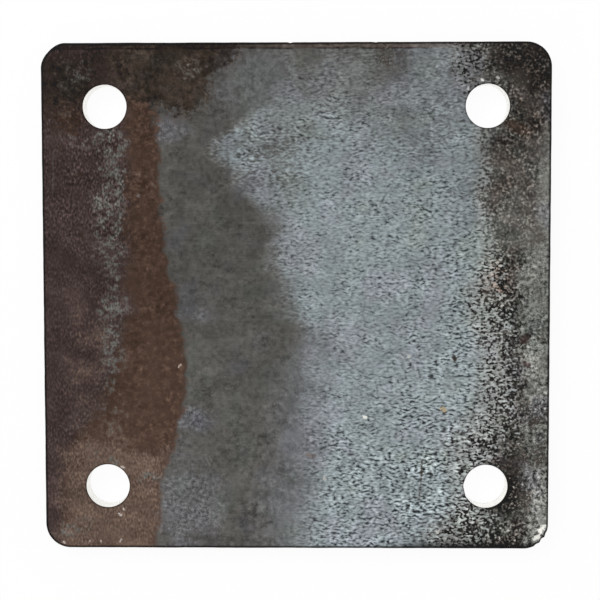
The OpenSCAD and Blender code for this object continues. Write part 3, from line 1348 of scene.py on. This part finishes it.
@dataclass(frozen=True)
class ScaledSteel:
    """Hot-rolled steel under broken mill scale and rust, cut at its walls; its lengths are in millimetres.

    Attributes:
        crackle_rate: wrinkles of the scale per millimetre across the rolling direction.
        crackle_stretch: how much that rate falls along the rolling direction.
        speck_rate: specks of the rusted bands per millimetre.
        mottle_rate: soft mottles of the smooth bands per millimetre.
        flake_rate: flakes of the broken edge band per millimetre.
        blotch_rate: widest blotches of the edge strip per millimetre.
        bend_rate: bends of the wrinkles per millimetre.
        bend_mm: how far they bend.
        swing: how much the strength of the grain changes from patch to patch.
        swing_least: least strength of the grain.
        sway_least: least lightness that grain and patches leave of a coat.
        streak_light: lightness of the fine lines in the skin.
        crease_shade_range: depth of a wrinkle at which painted shade in its crease begins, and at which it is
            full.
        crease_shade_dark: share of the lightness that this painted shade takes.
        breaking_tint: strength of the tint where the scale is breaking off.
        stain_range: grain at which a stain begins, and at which it is full.
        stain_tint: strength of the stains.
        cool_tint: strength of the violet and green tints on the skin and the scale.
        black_range: lightness at which a colour starts to turn to the tint of soot and shade, and at which it
            is that.
        lip_y: where the lip along the back edge begins.
        lip_end: X at which the lip ends, and at which it is full.
        ragged_rate: bends of a mark's outline per millimetre.
        ragged_mm: how far they bend.
        mark_fray: how far the grain frays a mark, as a share of its half width.
        edge_shade_run: distances from the edge at which painted shade begins to darken it, and at which it is
            dark.
        edge_shade_dark: share of the lightness that this painted shade takes there.
        rim_shade_run: distances from a hole at which painted shade begins to darken its rim, and at which it
            is dark.
        rim_shade_dark: share of the lightness that this painted shade takes there.
        rim_mm: depth of the dark rim of painted shade at the top of a hole, above its bright wall.
        wall_light: lightness of the outer walls.
        arris_light: lightness of their worn edges.
        bore_light: lightness of the bored walls.
        scale_metal: how metallic the scale is.
        roughness: roughness of the coats, before scale and bores make it less.
        specular: level of the shader's mirror reflection.
        sheen_light: linear light that this reflection adds, which the colours leave room for.
        bump_mm: depth of the fine bump.
    """

    crackle_rate: float = 1.2
    crackle_stretch: float = 0.5
    speck_rate: float = 1.0
    mottle_rate: float = 0.55
    flake_rate: float = 1.05
    blotch_rate: float = 0.6
    bend_rate: float = 0.3
    bend_mm: float = 1.5
    swing: float = 0.3
    swing_least: float = 0.35
    sway_least: float = 0.15
    streak_light: float = 0.006
    crease_shade_range: tuple[float, float] = (-1.2, -2.2)
    crease_shade_dark: float = 0.25
    breaking_tint: float = 2.4
    stain_range: tuple[float, float] = (-1.0, 1.5)
    stain_tint: float = 0.7
    cool_tint: float = 0.45
    black_range: tuple[float, float] = (0.20, 0.08)
    lip_y: float = 97.5
    lip_end: tuple[float, float] = (75.0, 40.0)
    ragged_rate: float = 1.3
    ragged_mm: float = 0.9
    mark_fray: float = 0.3
    edge_shade_run: tuple[float, float] = (1.3, 0.5)
    edge_shade_dark: float = 0.6
    rim_shade_run: tuple[float, float] = (0.8, 0.2)
    rim_shade_dark: float = 0.35
    rim_mm: float = 0.3
    wall_light: float = 0.25
    arris_light: float = 0.5
    bore_light: float = 0.97
    scale_metal: float = 0.15
    roughness: float = 0.78
    specular: float = 0.2
    sheen_light: float = 0.011
    bump_mm: float = 0.04

    def stray(self, bench: NodeBench, place: Socket, rate: float, detail: float, rough: float) -> Socket:
        """Noise as a number round 0 that strays by about 1."""
        noise = bench.noise(place, rate, detail, rough).outputs[0]
        return bench.math("MULTIPLY_ADD", noise, NOISE_GAIN, -NOISE_GAIN / 2.0)

    def grains(self, bench: NodeBench, place: Socket) -> Grains:
        """Sets out the noises.

        Args:
            bench: bench to set them on.
            place: places on the plate, in millimetres.

        Returns:
            The noises.
        """
        push = bench.vector("SCALE", bench.noise(place, self.bend_rate, 1.0).outputs["Color"], self.bend_mm)
        bent = bench.vector("ADD", place, push)
        along = bench.vector("MULTIPLY", bent, (self.crackle_stretch, 1.0, 1.0))
        upright = bench.vector("MULTIPLY", place, (1.35, 0.75, 1.0))
        streaky = bench.vector("MULTIPLY", place, (0.06, 1.0, 1.0))
        downward = bench.vector("MULTIPLY", place, (1.0, 1.0, 0.07))
        fine = {
            Grit.CRACKLE: self.stray(bench, along, self.crackle_rate, 1.0, 0.4),
            Grit.SPECK: self.stray(bench, upright, self.speck_rate, 1.0, 0.4),
            Grit.MOTTLE: self.stray(bench, place, self.mottle_rate, 2.0, 0.65),
            Grit.FLAKE: self.stray(bench, place, self.flake_rate, 1.0, 0.4),
            Grit.BLOTCH: self.stray(bench, place, self.blotch_rate, 3.0, 0.75),
        }
        return Grains(
            fine=fine,
            squares={grit: bench.math("MULTIPLY_ADD", noise, noise, -1.0) for grit, noise in fine.items()},
            cloud=self.stray(bench, bench.vector("MULTIPLY", bent, (0.7, 1.0, 1.0)), 0.12, 3.0, 0.6),
            tint=self.stray(bench, place, 0.06, 2.0, 0.5),
            cluster=self.stray(bench, bent, 0.1, 2.0, 0.6),
            streak=self.stray(bench, streaky, 1.6, 1.0, 0.5),
            drag=self.stray(bench, downward, 0.9, 2.0, 0.6),
        )

    def coat_share(self, bench: NodeBench, grains: Grains, coat: Coat, tear: Socket) -> Socket:
        """Share of a coat that shows: as the mesh tells it, with the grain eating into its border.

        Args:
            bench: bench to set the nodes on.
            grains: the noises.
            coat: the coat.
            tear: how far borders tear, 0 for a plain blend.

        Returns:
            The share at each place.
        """
        laid = bench.attribute(coat.name)
        within = bench.product(laid, bench.rest(laid))
        kinds = coat.tear or (coat.grit,)
        fray = 2.0 * coat.fray / math.sqrt(len(kinds))
        eaten = ((grains.fine[kind], fray) for kind in kinds)
        torn = bench.product(bench.sum_of(0.0, *eaten, (grains.cloud, 2.0 * coat.drift)), tear)
        frayed = bench.math("MULTIPLY_ADD", within, torn, laid)
        stepped = bench.step(0.5 - coat.soft, 0.5 + coat.soft, frayed)
        return bench.math("MULTIPLY_ADD", bench.math("SUBTRACT", stepped, laid), tear, laid)

    def coats(self, bench: NodeBench, grains: Grains) -> tuple[Paint, Socket]:
        """Lays every coat over the skin, then painted shade in the wrinkles' creases, the stains and the
        tints.

        Args:
            bench: bench to set the nodes on.
            grains: the noises.

        Returns:
            The paint, and the share of the scale that still shows.
        """
        shade, rough, tear = map(bench.attribute, ("shade", "rough", "tear"))
        swing = bench.math("MAXIMUM", bench.sum_of(1.0, (grains.cluster, self.swing)), self.swing_least)
        rough = bench.product(rough, swing)

        def level(coat: Coat) -> Socket:
            """Lightness of a coat: its own, by the shade, its grain and its patches."""
            grain = bench.sum_of(grains.fine[coat.grit], (grains.squares[coat.grit], coat.skew))
            grain = bench.math("MULTIPLY_ADD", grain, bench.product(rough, coat.contrast), 1.0)
            sway = bench.sum_of(grain, (grains.cloud, coat.patchy))
            return bench.product(bench.math("MAXIMUM", sway, self.sway_least), shade, coat.light)

        paint = Paint(bench, bench.sum_of(level(SKIN), (grains.streak, self.streak_light)), SKIN.hue.linear)
        shown = {coat.name: self.coat_share(bench, grains, coat, tear) for coat in COATS}
        for coat in COATS:
            paint.cover(shown[coat.name], level(coat), coat.hue)
        over_scale = (bench.rest(shown[name]) for name in ("flaked", "strip", "soot_and_shade"))
        scaled = bench.product(shown["scale"], *over_scale)

        # Painted shade in the deepest creases of the scale's wrinkles.
        crease_shade = bench.step(*self.crease_shade_range, bench.product(grains.fine[Grit.CRACKLE], rough))
        paint.darken(bench.product(crease_shade, scaled, self.crease_shade_dark))
        flaked, stain = map(bench.attribute, ("flaked", "stain"))
        rust, umber, brown = map(bench.attribute, ("rust", "umber", "brown"))
        paint.tint(bench.product(flaked, bench.rest(flaked), tear, self.breaking_tint), Hue.FROST)
        spots = bench.step(*self.stain_range, grains.fine[Grit.MOTTLE])
        paint.tint(bench.product(stain, spots, self.stain_tint), Hue.RUST)
        warm = bench.math("MAXIMUM", bench.math("MAXIMUM", rust, umber), brown)
        cool = bench.math("MULTIPLY_ADD", warm, -self.cool_tint, self.cool_tint)
        paint.tint(bench.product(bench.step(0.1, 1.5, grains.tint), cool), Hue.VIOLET)
        paint.tint(bench.product(bench.step(-0.1, -1.5, grains.tint), cool), Hue.MOSS)
        paint.tint(bench.step(*self.black_range, paint.level), Hue.SOOT_AND_SHADE)
        return paint, scaled

    def lip(self, paint: Paint, place: Socket, grains: Grains) -> None:
        """Paints the rolled lip along the back edge: dull, streaked, with a dark line under it.

        Args:
            paint: paint of the top face.
            place: places on the plate, in millimetres.
            grains: the noises.
        """
        bench = paint.bench
        x, y, _ = bench.axes(place)
        y = bench.sum_of(y, (grains.cloud, 0.12))
        run = bench.step(*self.lip_end, x)
        here = bench.product(run, bench.step(self.lip_y - 0.3, self.lip_y + 0.3, y))
        paint.darken(bench.product(here, bench.sum_of(0.18, (grains.streak, 0.07))))
        paint.tint(bench.product(here, 0.6), Hue.CAP)
        off_line = bench.math("ABSOLUTE", bench.math("SUBTRACT", y, self.lip_y))
        line = bench.product(bench.step(0.55, 0.15, off_line), run)
        depth = bench.math("MAXIMUM", bench.sum_of(0.2, (grains.cluster, 0.2)), 0.0)
        paint.darken(bench.product(line, depth))

    def mark_share(self, place: Socket, grains: Grains, mark: Mark, bench: NodeBench,
                   height: float) -> Socket:
        """Share of a mark: its strength near its line, falling to nothing past a frayed half width.

        Args:
            place: places on the plate, in millimetres.
            grains: the noises.
            mark: the mark.
            bench: bench to set the nodes on.
            height: height of the top face, in millimetres.

        Returns:
            The share at each place.
        """
        start = Vector((*mark.start, height))
        run = Vector((*mark.end, height)) - start
        past = bench.vector("SUBTRACT", place, start)
        if run.length > 0.0:
            dot = bench.node("ShaderNodeVectorMath", operation="DOT_PRODUCT")
            bench.plug(dot.inputs[0], past)
            bench.plug(dot.inputs[1], run / run.length_squared)
            reach = bench.node("ShaderNodeClamp")
            bench.plug(reach.inputs[0], dot.outputs["Value"])
            past = bench.vector("SUBTRACT", past, bench.vector("SCALE", run, reach.outputs[0]))
        away = bench.node("ShaderNodeVectorMath", operation="LENGTH")
        bench.plug(away.inputs[0], past)
        frayed = bench.sum_of(away.outputs["Value"], (grains.fine[Grit.FLAKE], self.mark_fray * mark.half))
        near = bench.step(mark.half * 1.3, mark.half * 0.5, frayed)
        return bench.product(near, mark.strength)

    def marks(self, paint: Paint, place: Socket, grains: Grains, height: float) -> Socket:
        """Paints the scratches, the spots, and the bare metal painted near white as glints (painted
        highlights).

        Args:
            paint: paint of the top face.
            place: places on the plate, in millimetres.
            grains: the noises.
            height: height of the top face, in millimetres.

        Returns:
            The share of bare metal.
        """
        bench = paint.bench
        noise = bench.noise(place, self.ragged_rate, 1.0).outputs["Color"]
        ragged = bench.vector("ADD", place, bench.vector("SCALE", noise, self.ragged_mm))
        ragged = bench.vector("SUBTRACT", ragged, (self.ragged_mm / 2.0,) * 3)
        for mark in SCRATCHES:
            paint.cover(self.mark_share(ragged, grains, mark, bench, height), mark.light, mark.hue)
        shine = 0.0
        for mark in GLINTS:
            share = self.mark_share(ragged, grains, mark, bench, height)
            paint.cover(share, mark.light, mark.hue)
            shine = bench.math("MAXIMUM", shine, share)
        return shine

    def walls(self, paint: Paint, grains: Grains, cut: Socket, bore: Socket) -> None:
        """Paints the cut walls and their worn edges, and the bright walls of the holes over them.

        Args:
            paint: paint of the top face.
            grains: the noises.
            cut: share of the walls.
            bore: share of the holes' bright walls.
        """
        bench = paint.bench
        speck = grains.fine[Grit.SPECK]
        rusty = bench.sum_of(self.wall_light, (grains.cloud, 0.03), (grains.drag, 0.012), (speck, 0.022))
        paint.cover(cut, rusty, Hue.UMBER)
        paint.tint(bench.product(bench.step(0.0, 1.4, grains.cloud), cut, 0.45), Hue.RUST)
        paint.tint(bench.product(bench.step(0.2, -1.2, grains.tint), cut, 0.8), Hue.FLAKED)
        arris = bench.product(cut, bench.rest(cut), bench.step(0.6, 1.6, grains.cluster))
        paint.cover(arris, self.arris_light, Hue.BARE)
        bright = bench.sum_of(self.bore_light, (grains.cloud, 0.015), (grains.drag, 0.012))
        paint.cover(bore, bright, Hue.BARE)

    def bump(self, bench: NodeBench, grains: Grains, cut: Socket) -> Socket:
        """Bump of the wrinkles, flakes, specks and cutting lines.

        Args:
            bench: bench to set the nodes on.
            grains: the noises.
            cut: share of the walls.

        Returns:
            The bumped normal.
        """
        bump = bench.node("ShaderNodeBump")
        bump.inputs["Strength"].default_value = 1.0
        bump.inputs["Distance"].default_value = self.bump_mm * MM
        wrinkles = bench.product(grains.fine[Grit.CRACKLE], bench.attribute("scale"))
        flakes = bench.product(grains.fine[Grit.FLAKE], bench.attribute("flaked"))
        lines = bench.product(grains.drag, cut)
        speck = grains.fine[Grit.SPECK]
        height = bench.sum_of(0.0, (wrinkles, 0.1), (flakes, 0.2), (speck, 0.05), (lines, 0.5))
        bench.plug(bump.inputs["Height"], height)
        return bump.outputs[0]

    def material(self, thick: float) -> bpy.types.Material:
        """Builds the node material from the mesh's attributes and from solid noise in millimetres.

        Args:
            thick: thickness of the plate, in millimetres.

        Returns:
            The finish, named scaled_steel.
        """
        material = bpy.data.materials.new("scaled_steel")
        material.use_nodes = True
        bench = NodeBench(material.node_tree)
        cut, bore, edge, rim = map(bench.attribute, ("cut", "bore", "edge", "rim"))
        place = bench.vector("SCALE", bench.node("ShaderNodeTexCoord").outputs["Object"], 1.0 / MM)
        grains = self.grains(bench, place)
        height = bench.axes(place)[2]
        bore = bench.product(bore, bench.step(thick - self.rim_mm, thick - 2.0 * self.rim_mm, height))

        paint, scaled = self.coats(bench, grains)
        self.lip(paint, place, grains)
        shine = self.marks(paint, place, grains, thick)
        # Painted shade: a dark line along the outline.
        paint.darken(bench.product(bench.step(*self.edge_shade_run, edge), self.edge_shade_dark))
        # Painted shade: a dark rim round each hole, down into the top of its wall.
        paint.darken(bench.product(bench.step(*self.rim_shade_run, rim), self.rim_shade_dark))
        self.walls(paint, grains, cut, bore)

        metal = bench.math("MAXIMUM", bench.product(scaled, self.scale_metal), shine)
        metal = bench.math("MAXIMUM", metal, bore)
        speck = grains.fine[Grit.SPECK]
        roughness = bench.sum_of(self.roughness, (scaled, -0.2), (speck, 0.03), (bore, -0.45))
        shader = bench.node("ShaderNodeBsdfPrincipled")
        shader.inputs["Specular IOR Level"].default_value = self.specular
        bench.plug(shader.inputs["Base Color"], paint.colour(self.sheen_light))
        bench.plug(shader.inputs["Metallic"], metal)
        bench.plug(shader.inputs["Roughness"], roughness)
        bench.plug(shader.inputs["Normal"], self.bump(bench, grains, cut))
        output = bench.node("ShaderNodeOutputMaterial")
        bench.plug(output.inputs["Surface"], shader.outputs[0])
        return material


@dataclass(frozen=True)
class Studio:
    """A white floor, even light from all round and one soft lamp.

    Attributes:
        floor_half: half the floor's width, in metres.
        floor_drop: distance of the floor under the plate, in metres.
        floor_glow: share of the floor's white that no shadow takes away.
        sky: strength of the even light on the object.
        lamp_place: where the lamp hangs, in metres.
        lamp_size: width of the lamp, in metres.
        lamp_power: power of the lamp, in watts.
    """

    floor_half: float = 3.0
    floor_drop: float = 0.0002
    floor_glow: float = 0.94
    sky: float = 0.66
    lamp_place: tuple[float, float, float] = (-0.5, 0.55, 1.1)
    lamp_size: float = 0.7
    lamp_power: float = 6.5

    def seen_straight(self, bench: NodeBench) -> Socket:
        """1 where the camera, a mirror or glass looks at the backdrop, 0 for light on the object."""
        path = bench.node("ShaderNodeLightPath").outputs
        either = bench.math("MAXIMUM", path["Is Camera Ray"], path["Is Glossy Ray"])
        return bench.math("MAXIMUM", either, path["Is Transmission Ray"])

    def floor(self) -> bpy.types.Object:
        """Lays the floor: white of its own, less the shadow of what lies on it."""
        half = self.floor_half
        corners = [(x * half, y * half, -self.floor_drop) for x, y in ((-1, -1), (1, -1), (1, 1), (-1, 1))]
        mesh = bpy.data.meshes.new("floor")
        mesh.from_pydata(corners, [], [(0, 1, 2, 3)])
        material = bpy.data.materials.new("white_floor")
        material.use_nodes = True
        bench = NodeBench(material.node_tree)
        glow = bench.node("ShaderNodeEmission")
        matt = bench.node("ShaderNodeBsdfDiffuse")
        matt.inputs["Color"].default_value = (1.0, 1.0, 1.0, 1.0)
        blend = bench.node("ShaderNodeMixShader")
        bench.plug(blend.inputs[0], bench.product(self.seen_straight(bench), self.floor_glow))
        bench.plug(blend.inputs[1], matt.outputs[0])
        bench.plug(blend.inputs[2], glow.outputs[0])
        output = bench.node("ShaderNodeOutputMaterial")
        bench.plug(output.inputs["Surface"], blend.outputs[0])
        mesh.materials.append(material)
        floor = bpy.data.objects.new("floor", mesh)
        bpy.context.scene.collection.objects.link(floor)
        return floor

    def light(self) -> None:
        """Sets the even light of the room and hangs the lamp, which faces the plate."""
        world = bpy.data.worlds.new("room")
        world.use_nodes = True
        bench = NodeBench(world.node_tree)
        air = bench.node("ShaderNodeBackground")
        seen = self.seen_straight(bench)
        bench.plug(air.inputs["Strength"], bench.sum_of(self.sky, (seen, 1.0 - self.sky)))
        air.inputs["Color"].default_value = (1.0, 1.0, 1.0, 1.0)
        output = bench.node("ShaderNodeOutputWorld")
        bench.plug(output.inputs["Surface"], air.outputs[0])
        bpy.context.scene.world = world
        data = bpy.data.lights.new("soft_lamp", "AREA")
        data.size = self.lamp_size
        data.energy = self.lamp_power
        lamp = bpy.data.objects.new("soft_lamp", data)
        lamp.location = self.lamp_place
        lamp.rotation_euler = (-Vector(self.lamp_place)).to_track_quat("-Z", "Y").to_euler()
        bpy.context.scene.collection.objects.link(lamp)


@dataclass(frozen=True)
class OverheadCamera:
    """The camera that looks down on the plate.

    Attributes:
        place: where it stands, in millimetres.
        aim: the point it looks at, in millimetres.
        roll_deg: its turn about the line of sight, in degrees.
        lens: focal length, in millimetres.
        sensor: width of the picture on the sensor, in millimetres.
    """

    place: tuple[float, float, float] = (12.7, 36.4, 608.7)
    aim: tuple[float, float, float] = (1.56, -0.91, 10.0)
    roll_deg: float = -0.09
    lens: float = 91.34
    sensor: float = 36.0

    def set_up(self) -> bpy.types.Object:
        """Stands the camera with the back of the plate, +Y, at the top of the picture."""
        data = bpy.data.cameras.new("overhead")
        data.lens = self.lens
        data.sensor_width = self.sensor
        camera = bpy.data.objects.new("overhead", data)
        ahead = (Vector(self.aim) - Vector(self.place)).normalized()
        right = ahead.cross(Vector((0.0, 1.0, 0.0))).normalized()
        axes = Matrix((right, right.cross(ahead), -ahead)).transposed()
        turn = Matrix.Rotation(math.radians(self.roll_deg), 3, "Z")
        camera.matrix_world = Matrix.LocRotScale(Vector(self.place) * MM, (axes @ turn).to_quaternion(), None)
        bpy.context.scene.collection.objects.link(camera)
        bpy.context.scene.camera = camera
        return camera


def main() -> None:
    """Builds the plate, the studio and the camera."""
    logging.basicConfig(level=logging.INFO)
    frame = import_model()
    bpy.context.scene.view_settings.view_transform = "Standard"

    plate = SteelPlate.from_frame(frame).build(ScaledSteel())
    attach(plate, "root")
    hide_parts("plate")
    LOG.info("%s: %d faces", plate.name, len(plate.data.polygons))

    studio = Studio()
    studio.floor()
    studio.light()
    OverheadCamera().set_up()


if __name__ == "__main__":
    main()
